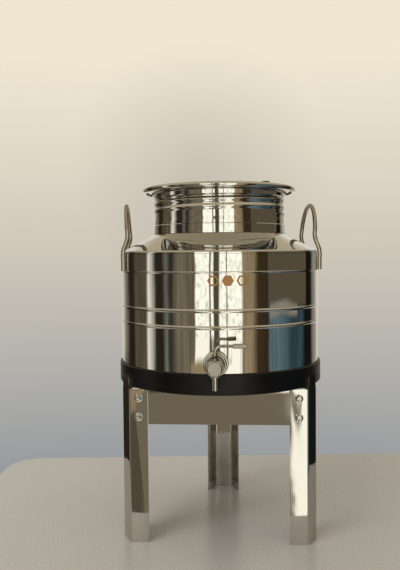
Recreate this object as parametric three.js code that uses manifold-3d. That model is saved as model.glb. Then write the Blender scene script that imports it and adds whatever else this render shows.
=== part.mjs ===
// A stainless storage drum for honey or oil: threaded plug lid, lever tap, base ring and a three-legged stand.
// Millimetres, +Z up, the tap towards -Y.
import * as THREE from "three";
import { mergeVertices } from "three/addons/utils/BufferGeometryUtils.js";
import Module from "manifold-3d";

const wasm = await Module();
wasm.setup();

// ---- Driving dimensions ----
const gap = 0.3; // between pieces that touch
const roundSteps = 40; // facets round the drum, the neck and the lid

// Drum
const drumRadius = 150;
const drumSheet = 1;
const wallHeight = 186;
const bandBeads = [87, 109.5]; // heights above the wall's lower edge
const bandBead = { proud: 1.5, half: 3 };
const handleBeadBelow = 25; // below the wall's upper edge
const handleBead = { proud: 0.8, half: 1.6 };
const bottomRecess = 7;
const shoulderRise = 29.5;
const shoulderEdge = 2.5;

// Neck
const neckRadius = 100; // outside, in the valley of the thread
const neckMouthStep = 2.3; // how much wider the neck is above the thread
const neckMouthFoot = 53; // height above the neck's foot where it widens
const neckHeight = 65;
const neckFlare = 6.5; // reach of the flared lip
const neckLipBend = 2.4; // radius
const threadLead = 10;
const threadTurns = 2; // of the lid's ridge: the neck's groove runs on into the mouth
const threadRise = 1.5;
const threadFoot = 28; // height of the thread's lower end above the neck's foot
const threadClearance = 0.75;
const threadStart = 34; // degrees from the front, towards +X, where the thread begins

// Lid
const lidSheet = 1;
const lidBrim = 18.5; // reach beyond the neck's radius
const lidDish = 6;
const lidDishInset = 20; // from the neck's radius to the dish's rim
const lidCurl = 3.7; // radius of the rolled edge
const lidSkirt = 42;
const gasketThickness = 3;
const gasketWidth = 6;
const ventInset = 9; // from the neck's radius to the vent's axis
const ventTurn = 50; // degrees from the front, towards +X
const ventHole = 4; // radius
const ventHead = 6.2;
const ventHeight = 4.5;
const ventTab = 13;

// Handles
const handleRod = 3.1; // radius
const handleSpread = 100;
const handleBelow = 24; // foot of the handle below the wall's upper edge
const handleStraight = 30;
const handleRise = 71; // top of the loop above the straight feet
const handleLean = 6.5; // how far the loop's foot stands in from the handle's feet
const handleReturn = 2.8; // how far the loop's top stands back out
const handleTurn = 7; // degrees, both handles together

// Base ring
const ringHeight = 29;
const ringWall = 3.3;
const ringFloor = 3;
const ringLip = 15;
const ringBevel = 2.2;

// Stand
const legHeight = 224;
const legSheet = 1.5;
const legFace = 28;
const legFlange = 26;
const legBend = 3.2;
const tabHeight = 19;
const tabInset = 3;
const tabCorner = 6;
const apronHeight = 54.5;
const apronSheet = 1.5;
const apronLedge = 15;
const apronBend = 2.6;
const apronAboveLeg = 2.7;
const apronEndGap = 4.5;
const screwDrops = [13, 40.5]; // below the leg's upper edge

// Fasteners, M6
const screwShank = 3;
const screwLength = 12;
const screwCollar = 6;
const screwHead = 4.8;
const screwHeadHeight = 3.2;
const socketRadius = 2;
const socketDepth = 1.8;
const nutAcrossFlats = 10;
const nutHeight = 5;

// Tap
const tapAbove = 40; // tap's axis above the wall's lower edge
const tapShank = 10;
const tapShankInside = 14;
const tapBore = 5;
const tapFlange = 17;
const tapFlangeThickness = 3;
const tapCollar = 14.5;
const tapCollarThickness = 4.5;
const tapNeck = 8.5;
const tapHousing = 11;
const tapHousingLength = 20;
const tapReach = 37; // from the wall to the nozzle's axis
const innerWasherThickness = 2.5;
const washerWidth = 3.4;
const backnutRadius = 16;
const backnutThickness = 7;
const ballRadius = 7;
const ballPort = 3;
const seatWidth = 2.2;
const capFace = 8;
const capThickness = 4;
const nozzleRadius = 4.5;
const nozzleBore = 3.25;
const nozzleDrop = 29; // tip below the tap's axis
const nozzleSeat = 3;
const bossRadius = 5.5;
const bossTop = 12; // above the tap's axis
const stemRadius = 2.6;
const glandRadius = 5;
const glandHeight = 3;
const leverRod = 2;
const leverRise = 28;
const leverBend = 9;
const leverReach = 41;
const sleeveRadius = 3.1;
const sleeveLength = 18;
const sleeveEnd = 1.2;

// ---- Materials ----
const finish = (color, roughness, metalness) =>
  new THREE.MeshStandardMaterial({ color, roughness, metalness });
const mirrorSteel = finish(0xc9c6c0, 0.06, 1);
const satinSteel = finish(0xb4b1ab, 0.3, 1);
const boltSteel = finish(0xa8a8a8, 0.25, 1);
const blackPlastic = finish(0x171715, 0.5, 0);
const blackRubber = finish(0x1a1a1a, 0.75, 0);
const whiteSeal = finish(0xe6e4de, 0.6, 0);

// ---- Shape helpers ----
const vec = (x, y) => new THREE.Vector2(x, y);
const rad = THREE.MathUtils.degToRad;

// A corner line with each inner corner turned into an arc.
function rounded(corners, radius, steps = 3) {
  const line = [corners[0]];
  for (let i = 1; i < corners.length - 1; i++) {
    const into = corners[i].clone().sub(corners[i - 1]).normalize();
    const out = corners[i + 1].clone().sub(corners[i]).normalize();
    const turn = Math.atan2(into.cross(out), into.dot(out));
    const back = radius * Math.tan(Math.abs(turn) / 2);
    const side = vec(-into.y, into.x).multiplyScalar(Math.sign(turn) * radius);
    const start = corners[i].clone().addScaledVector(into, -back);
    const centre = start.clone().add(side);
    for (let k = 0; k <= steps; k++)
      line.push(start.clone().rotateAround(centre, (turn * k) / steps));
  }
  line.push(corners[corners.length - 1]);
  return line;
}

// The outline of a sheet of one thickness whose middle follows a line.
function sheetOutline(line, thickness) {
  const offset = (sign) =>
    line.map((point, i) => {
      const into = point.clone().sub(line[Math.max(i - 1, 0)]);
      const out = line[Math.min(i + 1, line.length - 1)].clone().sub(point);
      if (i === 0) into.copy(out);
      if (i === line.length - 1) out.copy(into);
      const a = vec(-into.y, into.x).normalize();
      const b = vec(-out.y, out.x).normalize();
      const half = (sign * thickness) / 2 / (1 + a.dot(b));
      return point.clone().addScaledVector(a.add(b), half);
    });
  return [...offset(-1), ...offset(1).reverse()];
}

// An outline of (radius, height) points turned round Z. One that meets the axis starts and ends on it.
function revolve(outline, steps = roundSteps) {
  const loop = outline.map((p) => p.clone());
  if (THREE.ShapeUtils.isClockWise(loop)) loop.reverse();
  if (loop[0].x > 0) loop.push(loop[0].clone());
  return new THREE.LatheGeometry(loop, steps).rotateX(Math.PI / 2);
}

const revolvedSheet = (line, thickness, steps) =>
  revolve(sheetOutline(line, thickness), steps);

const cylinder = (radius, low, high, steps = 20) =>
  new THREE.CylinderGeometry(radius, radius, high - low, steps)
    .rotateX(Math.PI / 2)
    .translate(0, 0, (low + high) / 2);

const ring = (inner, outer, low, high, steps = 20) =>
  revolve([vec(inner, low), vec(outer, low), vec(outer, high), vec(inner, high)], steps);

const extrude = (outline, depth) =>
  new THREE.ExtrudeGeometry(new THREE.Shape(outline), { depth, bevelEnabled: false });

// A round rod along a path.
function rodAlong(path, radius, sides, steps) {
  const section = new THREE.Shape();
  for (let k = 0; k < sides; k++) {
    const turn = (2 * Math.PI * k) / sides;
    const point = [radius * Math.cos(turn), radius * Math.sin(turn)];
    if (k === 0) section.moveTo(...point);
    else section.lineTo(...point);
  }
  section.closePath();
  return new THREE.ExtrudeGeometry(section, { steps, extrudePath: path });
}

function toSolid(geometry) {
  const bare = geometry.index ? geometry.toNonIndexed() : geometry.clone();
  bare.deleteAttribute("normal");
  bare.deleteAttribute("uv");
  const merged = mergeVertices(bare, 1e-3);
  return new wasm.Manifold(
    new wasm.Mesh({
      numProp: 3,
      vertProperties: merged.attributes.position.array,
      triVerts: new Uint32Array(merged.index.array),
    }),
  );
}

function toGeometry(solid) {
  const mesh = solid.getMesh();
  const geometry = new THREE.BufferGeometry();
  geometry.setAttribute("position", new THREE.BufferAttribute(mesh.vertProperties, 3));
  geometry.setIndex(new THREE.BufferAttribute(mesh.triVerts, 1));
  geometry.computeVertexNormals();
  return geometry;
}

const join = (...pieces) => toGeometry(pieces.map(toSolid).reduce((a, b) => a.add(b)));
const cut = (piece, ...tools) =>
  toGeometry(tools.map(toSolid).reduce((a, b) => a.subtract(b), toSolid(piece)));

const assembly = new THREE.Group();
function piece(group, name, geometry, material) {
  const mesh = new THREE.Mesh(geometry, material);
  mesh.name = name;
  group.add(mesh);
  return mesh;
}

// ---- Heights and radii that follow from the driving dimensions ----
const ledgeTop = legHeight + apronAboveLeg;
const ringLow = ledgeTop + gap;
const wallLow = ringLow + ringFloor + gap;
const wallTop = wallLow + wallHeight;
const ringInner = drumRadius + gap;
const ringOuter = ringInner + ringWall;
const shoulderTop = wallTop + gap + shoulderRise;
const neckLow = shoulderTop + gap;
const neckTop = neckLow + neckHeight;
const gasketLow = neckTop + gap;
const brimLow = gasketLow + gasketThickness + gap;
const lidRadius = neckRadius + lidBrim;
const lidDishRadius = neckRadius - lidDishInset;
const ventRadius = neckRadius - ventInset;
const neckMouthInner = neckRadius + neckMouthStep - drumSheet;
const tapHeight = wallLow + tapAbove;

// ---- Thread ----
// How far a ridge of some turns stands out at a turn (radians from +X) and a height.
function ridge(turn, height, turns) {
  const low = neckLow + threadFoot;
  const start = rad(threadStart - 90);
  const round = THREE.MathUtils.euclideanModulo(turn - start, 2 * Math.PI) / (2 * Math.PI);
  const winding = Math.round((height - low) / threadLead - round);
  const along = winding + round;
  const across = height - low - along * threadLead;
  const fade =
    THREE.MathUtils.smoothstep(along, 0, 0.15) *
    (1 - THREE.MathUtils.smoothstep(along, turns - 0.15, turns));
  return threadRise * fade * Math.cos((Math.PI * across) / threadLead) ** 2;
}

// Moves each point of a turned piece, up to a height, out by the thread's ridge.
function threaded(geometry, turns, top) {
  const at = geometry.getAttribute("position");
  for (let i = 0; i < at.count; i++) {
    const radius = Math.hypot(at.getX(i), at.getY(i));
    const height = at.getZ(i);
    if (height > top) continue;
    const rise = ridge(Math.atan2(at.getY(i), at.getX(i)), height, turns);
    at.setX(i, (at.getX(i) * (radius + rise)) / radius);
    at.setY(i, (at.getY(i) * (radius + rise)) / radius);
  }
  return geometry;
}

// Evenly spaced points of an upright stretch that the thread crosses.
function threadRows(radius, low, high) {
  const rows = Math.ceil((high - low) / (threadLead / 4));
  return Array.from({ length: rows + 1 }, (_, k) => vec(radius, low + ((high - low) * k) / rows));
}

const threadLow = neckLow + threadFoot - threadLead / 2;
const threadHigh = neckLow + threadFoot + threadLead * (threadTurns + 0.5);
const mouthFoot = neckLow + neckMouthFoot;

// ---- Drum ----
function drumWall() {
  const middle = drumRadius - drumSheet / 2;
  const line = [vec(middle, wallLow)];
  const beads = [
    ...bandBeads.map((above) => ({ ...bandBead, height: wallLow + above })),
    { ...handleBead, height: wallTop - handleBeadBelow },
  ];
  for (const { height, ...bead } of beads) {
    line.push(vec(middle, height - bead.half));
    line.push(vec(middle + bead.proud, height - bead.half / 3));
    line.push(vec(middle + bead.proud, height + bead.half / 3));
    line.push(vec(middle, height + bead.half));
  }
  line.push(vec(middle, wallTop));
  const hole = cylinder(tapShank + gap, drumRadius - 20, drumRadius + 20)
    .rotateX(Math.PI / 2)
    .translate(0, 0, tapHeight);
  return cut(revolvedSheet(line, drumSheet), hole);
}

function drumBottom() {
  const skirt = drumRadius - drumSheet - gap - drumSheet / 2;
  const floor = wallLow + bottomRecess;
  const corners = [vec(0, floor), vec(skirt, floor), vec(skirt, wallLow)];
  return revolvedSheet(rounded(corners, 4, 2), drumSheet);
}

function drumShoulder() {
  const middle = drumRadius - drumSheet / 2;
  const low = wallTop + gap;
  const corners = [
    vec(middle, low),
    vec(middle, low + shoulderEdge),
    vec(neckRadius, shoulderTop - drumSheet / 2),
    vec(neckRadius - 4, shoulderTop - drumSheet / 2),
  ];
  return revolvedSheet(rounded(corners, shoulderEdge, 2), drumSheet);
}

function neckCollar() {
  const valley = neckRadius - drumSheet / 2;
  const mouth = valley + neckMouthStep;
  const lip = [
    vec(mouth, mouthFoot + neckMouthStep),
    vec(mouth, neckTop - drumSheet / 2),
    vec(mouth + neckFlare, neckTop - drumSheet / 2),
  ];
  const line = [
    vec(valley + 1.4, neckLow),
    vec(valley + 0.5, neckLow + 10),
    vec(valley + 0.5, threadLow - 4),
    ...threadRows(valley, threadLow, mouthFoot),
    ...rounded(lip, neckLipBend, 2),
  ];
  return threaded(revolvedSheet(line, drumSheet), Infinity, mouthFoot + drumSheet / 2);
}

// ---- Base ring ----
function baseRing() {
  const top = ringLow + ringHeight;
  return revolve([
    vec(ringOuter - ringLip, ringLow),
    vec(ringOuter - ringBevel, ringLow),
    vec(ringOuter, ringLow + ringBevel),
    vec(ringOuter, top - ringBevel),
    vec(ringOuter - ringBevel, top),
    vec(ringInner, top),
    vec(ringInner, ringLow + ringFloor),
    vec(ringOuter - ringLip, ringLow + ringFloor),
  ]);
}

// ---- Handles ----
// One handle: two upright feet on the wall, leaning in to a half-oval loop over the shoulder.
function handle() {
  const halfSpread = handleSpread / 2;
  const footOut = drumRadius + gap + handleRod;
  const out = Math.sqrt(footOut ** 2 - halfSpread ** 2);
  const foot = wallTop - handleBelow;
  const bend = foot + handleStraight;
  const springing = bend + 20;
  const loopWidth = halfSpread - 2.5;
  const loopRise = foot + handleStraight + handleRise - handleRod - springing;
  const side = (sign) => [
    new THREE.Vector3(out, sign * halfSpread, foot),
    new THREE.Vector3(out, sign * halfSpread, foot + handleStraight / 2),
    new THREE.Vector3(out, sign * halfSpread, bend - 2),
    new THREE.Vector3(out - handleLean, sign * loopWidth, springing),
  ];
  const loop = [];
  for (let k = 1; k < 12; k++) {
    const turn = (Math.PI * k) / 12;
    const across = -loopWidth * Math.cos(turn);
    const rise = Math.sin(turn);
    const lean = handleLean - handleReturn * rise;
    loop.push(new THREE.Vector3(out - lean, across, springing + loopRise * rise));
  }
  const path = new THREE.CatmullRomCurve3([...side(-1), ...loop, ...side(1).reverse()]);
  return rodAlong(path, handleRod, 8, 32);
}

// ---- Lid ----
function lidTop() {
  const level = brimLow + lidSheet / 2;
  const edge = lidRadius - lidSheet / 2;
  const curlCentre = vec(edge - lidCurl, level - lidCurl);
  const corners = [
    vec(0, level - lidDish),
    vec(lidDishRadius - lidDish, level - lidDish),
    vec(lidDishRadius, level),
    vec(edge - lidCurl, level),
  ];
  const curl = [];
  for (let k = 1; k <= 4; k++) {
    const turn = rad(90 - 55 * k);
    curl.push(vec(Math.cos(turn), Math.sin(turn)).multiplyScalar(lidCurl).add(curlCentre));
  }
  const plate = revolvedSheet([...rounded(corners, 4, 2), ...curl], lidSheet);
  const turn = rad(ventTurn - 90);
  const hole = cylinder(ventHole + gap, brimLow - 5, brimLow + 5, 16).translate(
    ventRadius * Math.cos(turn),
    ventRadius * Math.sin(turn),
    0,
  );
  return cut(plate, hole);
}

function lidThreadRing() {
  const middle = neckRadius - drumSheet - threadClearance - lidSheet / 2;
  const top = brimLow - gap;
  return threaded(
    revolvedSheet(
      [
        ...threadRows(middle, top - lidSkirt, threadHigh),
        vec(middle, top),
      ],
      lidSheet,
    ),
    threadTurns,
    threadHigh,
  );
}

function lidGasket() {
  const inner = neckMouthInner + 1;
  return ring(inner, inner + gasketWidth, gasketLow, gasketLow + gasketThickness, roundSteps);
}

// A rubber plug with a pull tab, its head on the lid and its barb below.
function ventPlug() {
  const seat = brimLow + lidSheet + gap;
  const under = brimLow - gap;
  const body = revolve(
    [
      vec(0, under - 3.5),
      vec(ventHole - 1, under - 3.5),
      vec(ventHole, under - 1),
      vec(ventHole, seat),
      vec(ventHead, seat),
      vec(ventHead, seat + ventHeight - 1.5),
      vec(ventHead - 1.5, seat + ventHeight),
      vec(0, seat + ventHeight),
    ],
    16,
  );
  const tabThickness = 2.5;
  const tab = new THREE.BoxGeometry(ventTab, ventHead, tabThickness).translate(
    -ventTab / 2,
    0,
    seat + ventHeight - 1.5 - tabThickness / 2,
  );
  return join(body, tab);
}

// ---- Tap ----
// Pieces round the tap's axis are drawn along +Z from the drum's axis and then laid towards -Y.
const tapForward = (geometry) => geometry.rotateX(Math.PI / 2).translate(0, 0, tapHeight);

const washerFrom = drumRadius + gap;
// The flange hangs just in front of the base ring, and the outer washer fills the space behind it.
const flangeFrom = ringOuter + gap;
const washerThickness = flangeFrom - gap - washerFrom;
const collarFrom = flangeFrom + tapFlangeThickness;
const nozzleOut = drumRadius + tapReach;
const housingFrom = nozzleOut - tapHousingLength / 2;
const housingTo = nozzleOut + tapHousingLength / 2;
const seatInner = nozzleOut - ballRadius * 0.8;
const seatOuter = nozzleOut + ballRadius * 0.8;
const washerOuter = tapShank + gap + washerWidth;
// The wall curves away from the flat inner washer, so the washer stops where its rim would meet the wall.
const wallInside = (drumRadius - drumSheet) * Math.cos(Math.PI / roundSteps);
const insideWasherTo = Math.sqrt(wallInside ** 2 - washerOuter ** 2) - gap;
const chamber = ballRadius + gap;
const slotWidth = 2.4; // the ball's slot for the stem's tongue
const slotFloor = ballRadius - 1.6; // above the ball's centre

function tapBody() {
  const shell = [
    cylinder(tapShank, drumRadius - tapShankInside, flangeFrom + 1),
    cylinder(tapFlange, flangeFrom, collarFrom),
    cylinder(tapCollar, collarFrom - 0.5, collarFrom + tapCollarThickness),
    cylinder(tapNeck, collarFrom, housingFrom + 2),
    cylinder(tapHousing, housingFrom, housingTo),
  ].map(tapForward);
  const upright = (geometry) => geometry.translate(0, -nozzleOut, tapHeight);
  const boss = upright(cylinder(bossRadius, 0, bossTop));
  const spout = upright(cylinder(nozzleRadius + 2.2, -tapHousing - 1.5, 0));
  const hollow = [
    tapForward(cylinder(tapBore, drumRadius - tapShankInside - 1, nozzleOut, 16)),
    tapForward(cylinder(chamber, seatInner - seatWidth - gap, housingTo + 1)),
    upright(cylinder(stemRadius + gap, 0, bossTop + 1, 16)),
    upright(cylinder(nozzleRadius + gap, -tapHousing - 2, -tapHousing + nozzleSeat, 16)),
    upright(cylinder(nozzleBore, -tapHousing, 0, 16)),
  ];
  return cut(join(...shell, boss, spout), ...hollow);
}

function valveBall() {
  const ball = new THREE.SphereGeometry(ballRadius, 16, 8).rotateX(Math.PI / 2);
  const slot = new THREE.BoxGeometry(slotWidth, 2 * ballRadius, ballRadius);
  slot.translate(0, 0, slotFloor + ballRadius / 2);
  const down = cylinder(ballPort, -ballRadius - 1, 0, 12);
  const across = cylinder(ballPort, 0, ballRadius + 1, 12).rotateY(-Math.PI / 2);
  return cut(ball, slot, down, across).translate(0, -nozzleOut, tapHeight);
}

// A seat ring hollowed to the ball, on the inlet side or on the cap's side of it.
function ballSeat(side) {
  const from = side < 0 ? seatInner - seatWidth : seatOuter;
  const body = ring(ballPort + 0.6, ballRadius, from, from + seatWidth, 16);
  const ball = new THREE.SphereGeometry(ballRadius + gap, 16, 8).translate(0, 0, nozzleOut);
  return tapForward(cut(body, ball));
}

function tapEndCap() {
  const plugFrom = seatOuter + seatWidth + gap;
  const face = housingTo + gap;
  return tapForward(
    revolve(
      [
        vec(0, plugFrom),
        vec(chamber - gap, plugFrom),
        vec(chamber - gap, face),
        vec(tapHousing - 1, face),
        vec(tapHousing - 1, face + 1),
        vec(capFace, face + capThickness),
        vec(0, face + capThickness),
      ],
      24,
    ),
  );
}

function tapNozzle() {
  const top = -tapHousing + nozzleSeat - gap;
  return ring(nozzleBore, nozzleRadius, -nozzleDrop, top, 16).translate(0, -nozzleOut, tapHeight);
}

const stemTop = bossTop + gap + glandHeight + gap;

function valveStem() {
  const low = slotFloor + gap;
  const high = ballRadius + 2 * gap;
  const tongue = new THREE.BoxGeometry(slotWidth - 2 * gap, 2 * stemRadius - 1, high - low);
  tongue.translate(0, 0, (low + high) / 2);
  const shaft = cylinder(stemRadius, ballRadius + gap, stemTop, 12);
  return join(tongue, shaft).translate(0, -nozzleOut, tapHeight);
}

function stemGland() {
  const low = bossTop + gap;
  const nut = cylinder(glandRadius, low, low + glandHeight, 6);
  const hole = cylinder(stemRadius + gap, low - 1, low + glandHeight + 1, 12);
  return cut(nut, hole).translate(0, -nozzleOut, tapHeight);
}

function tapLever() {
  const low = stemTop + gap;
  const path = new THREE.CurvePath();
  const bendFoot = leverRise - leverBend;
  path.add(new THREE.LineCurve3(new THREE.Vector3(0, 0, low), new THREE.Vector3(0, 0, bendFoot)));
  path.add(
    new THREE.QuadraticBezierCurve3(
      new THREE.Vector3(0, 0, bendFoot),
      new THREE.Vector3(0, 0, leverRise),
      new THREE.Vector3(leverBend, 0, leverRise),
    ),
  );
  path.add(
    new THREE.LineCurve3(
      new THREE.Vector3(leverBend, 0, leverRise),
      new THREE.Vector3(leverReach - sleeveEnd - gap, 0, leverRise),
    ),
  );
  const hub = cylinder(stemRadius + 0.8, low, low + 2.5, 12);
  return join(rodAlong(path, leverRod, 8, 18), hub).translate(0, -nozzleOut, tapHeight);
}

function leverSleeve() {
  const sleeve = revolve(
    [
      vec(leverRod + gap, 0),
      vec(sleeveRadius, 0),
      vec(sleeveRadius, sleeveLength),
      vec(0, sleeveLength),
      vec(0, sleeveLength - sleeveEnd),
      vec(leverRod + gap, sleeveLength - sleeveEnd),
    ].reverse(),
    12,
  );
  return sleeve
    .rotateY(Math.PI / 2)
    .translate(leverReach - sleeveLength, -nozzleOut, tapHeight + leverRise);
}

// ---- Stand ----
// The leg's outer face lies just outside the base ring, and its two flanges run along the aprons.
const legOut = ringOuter + gap + legSheet;
const flangeTurn = rad(60);
const legCornerOut = legOut - legSheet / 2;
const legCornerAcross = legFace / 2 - (legSheet / 2) * Math.tan(flangeTurn / 2);
// From the stand's axis to the outer face of a flange, square to it.
const flangeOut = legOut * Math.cos(flangeTurn) + (legFace / 2) * Math.sin(flangeTurn);
const apronOut = flangeOut - legSheet - gap;
// Along a flange from the middle of its apron to a place that lies a given way from the leg's corner.
const cornerAlong = legOut * Math.sin(flangeTurn) - (legFace / 2) * Math.cos(flangeTurn);
const screwAlong = cornerAlong - legFlange / 2;
const apronBottom = ledgeTop - apronHeight;

// The holes for one apron's screws: an apron faces +X here.
const apronScrews = [-1, 1].flatMap((side) =>
  screwDrops.map((drop) => ({ side, along: side * screwAlong, height: legHeight - drop })),
);

const screwHoles = () =>
  apronScrews.map(({ along, height }) =>
    cylinder(screwShank + gap, flangeOut - 8, flangeOut + 4, 10)
      .rotateY(Math.PI / 2)
      .translate(0, along, height),
  );

// A leg that stands on +X.
function leg() {
  const flangeEnd = (side) =>
    vec(
      legCornerOut - legFlange * Math.sin(flangeTurn),
      side * (legCornerAcross + legFlange * Math.cos(flangeTurn)),
    );
  const corners = [
    flangeEnd(-1),
    vec(legCornerOut, -legCornerAcross),
    vec(legCornerOut, legCornerAcross),
    flangeEnd(1),
  ];
  const channel = extrude(sheetOutline(rounded(corners, legBend), legSheet), legHeight);
  const half = legFace / 2 - tabInset;
  const plate = [
    vec(-half, -10),
    vec(half, -10),
    ...rounded([vec(half, 0), vec(half, tabHeight), vec(-half, tabHeight), vec(-half, 0)], tabCorner),
  ];
  const upright = new THREE.Matrix4().makeBasis(
    new THREE.Vector3(0, 1, 0),
    new THREE.Vector3(0, 0, 1),
    new THREE.Vector3(1, 0, 0),
  );
  const tab = extrude(plate, legSheet)
    .applyMatrix4(upright)
    .translate(legOut - legSheet, 0, legHeight);
  const holes = [-60, 60].flatMap((turn) =>
    screwHoles().map((hole) => hole.rotateZ(rad(turn))),
  );
  return cut(join(channel, tab), ...holes);
}

// An apron that faces +X, its upper edge folded in to a ledge.
function apron() {
  const halfLength = cornerAlong - apronEndGap;
  const middle = apronOut - apronSheet / 2;
  const corners = [
    vec(-middle, apronBottom),
    vec(-middle, ledgeTop - apronSheet / 2),
    vec(apronLedge - apronOut, ledgeTop - apronSheet / 2),
  ];
  const toFront = new THREE.Matrix4().makeBasis(
    new THREE.Vector3(-1, 0, 0),
    new THREE.Vector3(0, 0, 1),
    new THREE.Vector3(0, 1, 0),
  );
  const plate = extrude(sheetOutline(rounded(corners, apronBend), apronSheet), 2 * halfLength)
    .applyMatrix4(toFront)
    .translate(0, -halfLength, 0);
  return cut(plate, ...screwHoles());
}

// A flanged button-head screw with its collar on z = 0 and its shank below.
const screw = () =>
  revolve(
    [
      vec(0, -screwLength),
      vec(screwShank, -screwLength),
      vec(screwShank, 0),
      vec(screwCollar, 0),
      vec(screwCollar, 0.9),
      vec(screwHead, 1.6),
      vec(socketRadius, screwHeadHeight),
      vec(socketRadius, screwHeadHeight - socketDepth),
      vec(0, screwHeadHeight - socketDepth),
    ],
    10,
  );

const nut = () =>
  cut(
    cylinder(nutAcrossFlats / Math.sqrt(3), -nutHeight, 0, 6),
    cylinder(screwShank + gap, -nutHeight - 1, 1, 10),
  );

// ---- Assembly ----
const vessel = new THREE.Group();
const stand = new THREE.Group();
assembly.add(stand, vessel);

piece(vessel, "drum_wall", drumWall(), mirrorSteel);
piece(vessel, "drum_bottom", drumBottom(), mirrorSteel);
piece(vessel, "drum_shoulder", drumShoulder(), mirrorSteel);
piece(vessel, "neck_collar", neckCollar(), mirrorSteel);
piece(vessel, "base_ring", baseRing(), blackPlastic);
piece(vessel, "handle_right", handle(), mirrorSteel).rotation.z = rad(handleTurn);
piece(vessel, "handle_left", handle(), mirrorSteel).rotation.z = rad(180 + handleTurn);
piece(vessel, "lid_top", lidTop(), mirrorSteel);
piece(vessel, "lid_thread_ring", lidThreadRing(), mirrorSteel);
piece(vessel, "lid_gasket", lidGasket(), whiteSeal);
const vent = piece(vessel, "vent_plug", ventPlug(), blackRubber);
vent.position.x = ventRadius * Math.cos(rad(ventTurn - 90));
vent.position.y = ventRadius * Math.sin(rad(ventTurn - 90));

piece(vessel, "tap_outer_gasket",
  tapForward(ring(tapShank + gap, washerOuter, washerFrom, washerFrom + washerThickness)),
  blackRubber);
piece(vessel, "tap_inner_gasket",
  tapForward(ring(tapShank + gap, washerOuter, insideWasherTo - innerWasherThickness,
    insideWasherTo)), blackRubber);
const backnutTo = insideWasherTo - innerWasherThickness - gap;
piece(vessel, "tap_backnut",
  tapForward(cut(cylinder(backnutRadius, backnutTo - backnutThickness, backnutTo, 6),
    cylinder(tapShank + gap, backnutTo - backnutThickness - 1, backnutTo + 1))), satinSteel);
piece(vessel, "tap_body", tapBody(), satinSteel);
piece(vessel, "valve_ball", valveBall(), mirrorSteel);
piece(vessel, "ball_seat_inlet", ballSeat(-1), whiteSeal);
piece(vessel, "ball_seat_cap", ballSeat(1), whiteSeal);
piece(vessel, "tap_end_cap", tapEndCap(), satinSteel);
piece(vessel, "tap_nozzle", tapNozzle(), satinSteel);
piece(vessel, "valve_stem", valveStem(), satinSteel);
piece(vessel, "stem_gland", stemGland(), satinSteel);
piece(vessel, "tap_lever", tapLever(), satinSteel);
piece(vessel, "lever_sleeve", leverSleeve(), satinSteel);

const legTurns = { right: -30, rear: 90, left: 210 };
for (const [name, turn] of Object.entries(legTurns))
  piece(stand, `leg_${name}`, leg(), mirrorSteel).rotation.z = rad(turn);

const apronTurns = { front: -90, right: 30, left: 150 };
for (const [name, turn] of Object.entries(apronTurns)) {
  const side = new THREE.Group();
  side.rotation.z = rad(turn);
  stand.add(side);
  piece(side, `apron_${name}`, apron(), mirrorSteel);
  apronScrews.forEach(({ along, height }, k) => {
    const bolt = piece(side, `screw_${name}_${k + 1}`, screw(), boltSteel);
    bolt.position.set(flangeOut + gap, along, height);
    bolt.rotation.y = Math.PI / 2;
    const inside = piece(side, `nut_${name}_${k + 1}`, nut(), boltSteel);
    inside.position.set(apronOut - apronSheet - gap, along, height);
    inside.rotation.y = Math.PI / 2;
  });
}

// The origin is the middle of the assembly's box, on the floor.
assembly.updateMatrixWorld(true);
const box = new THREE.Box3().setFromObject(assembly, true);
const middle = box.getCenter(new THREE.Vector3());
assembly.position.set(-middle.x, -middle.y, -box.min.z);

export default assembly;
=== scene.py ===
from math import atan2, cos, hypot, pi, radians, sin, tan

import bmesh
import bpy
from bpy.props import FloatProperty, FloatVectorProperty, PointerProperty
from mathutils import Matrix, Vector


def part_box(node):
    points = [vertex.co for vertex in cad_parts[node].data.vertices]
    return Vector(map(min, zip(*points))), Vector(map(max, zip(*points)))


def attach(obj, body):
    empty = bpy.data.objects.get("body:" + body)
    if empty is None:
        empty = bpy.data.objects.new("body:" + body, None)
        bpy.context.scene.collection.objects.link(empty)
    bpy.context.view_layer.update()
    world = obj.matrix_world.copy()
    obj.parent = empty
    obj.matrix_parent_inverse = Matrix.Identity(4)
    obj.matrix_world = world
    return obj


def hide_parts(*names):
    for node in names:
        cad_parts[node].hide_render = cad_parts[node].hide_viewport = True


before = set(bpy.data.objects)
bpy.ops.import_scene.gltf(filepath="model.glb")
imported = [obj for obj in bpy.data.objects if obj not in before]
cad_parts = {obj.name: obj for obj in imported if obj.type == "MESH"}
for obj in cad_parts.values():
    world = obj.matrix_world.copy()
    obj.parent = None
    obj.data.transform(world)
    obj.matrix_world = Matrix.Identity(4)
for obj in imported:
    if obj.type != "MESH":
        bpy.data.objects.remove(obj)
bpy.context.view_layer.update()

bl_info = {
    "name": "Steel Honey Drum",
    "version": (1, 0, 0),
    "blender": (4, 5, 0),
    "location": "View3D > Sidebar > Honey Drum",
    "description": "A stainless honey drum with a lever tap on a three-legged stand",
    "category": "Object",
}

MM = 0.001
GAP = 0.3 * MM  # between pieces that touch
ROUND = 288  # steps round the drum, the neck and the lid
TURNED = 48  # steps round the tap's turned pieces
HANDLE_TURN = 7  # degrees, both handles together
TAP_HOLE = 10.3 * MM  # radius, in the wall and the washers
SCREW_HOLE = 3.3 * MM  # radius, in the stand and the nuts
CREASE = radians(32)  # a sharper fold than this keeps its edge in the shading


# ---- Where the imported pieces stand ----
def low(node):
    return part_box(node)[0]


def high(node):
    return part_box(node)[1]


AXIS = (low("base_ring") + high("base_ring")) / 2
AXIS.z = 0
TAP_HEIGHT = (low("tap_outer_gasket").z + high("tap_outer_gasket").z) / 2
NOZZLE_OUT = AXIS.y - (low("tap_nozzle").y + high("tap_nozzle").y) / 2


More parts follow.
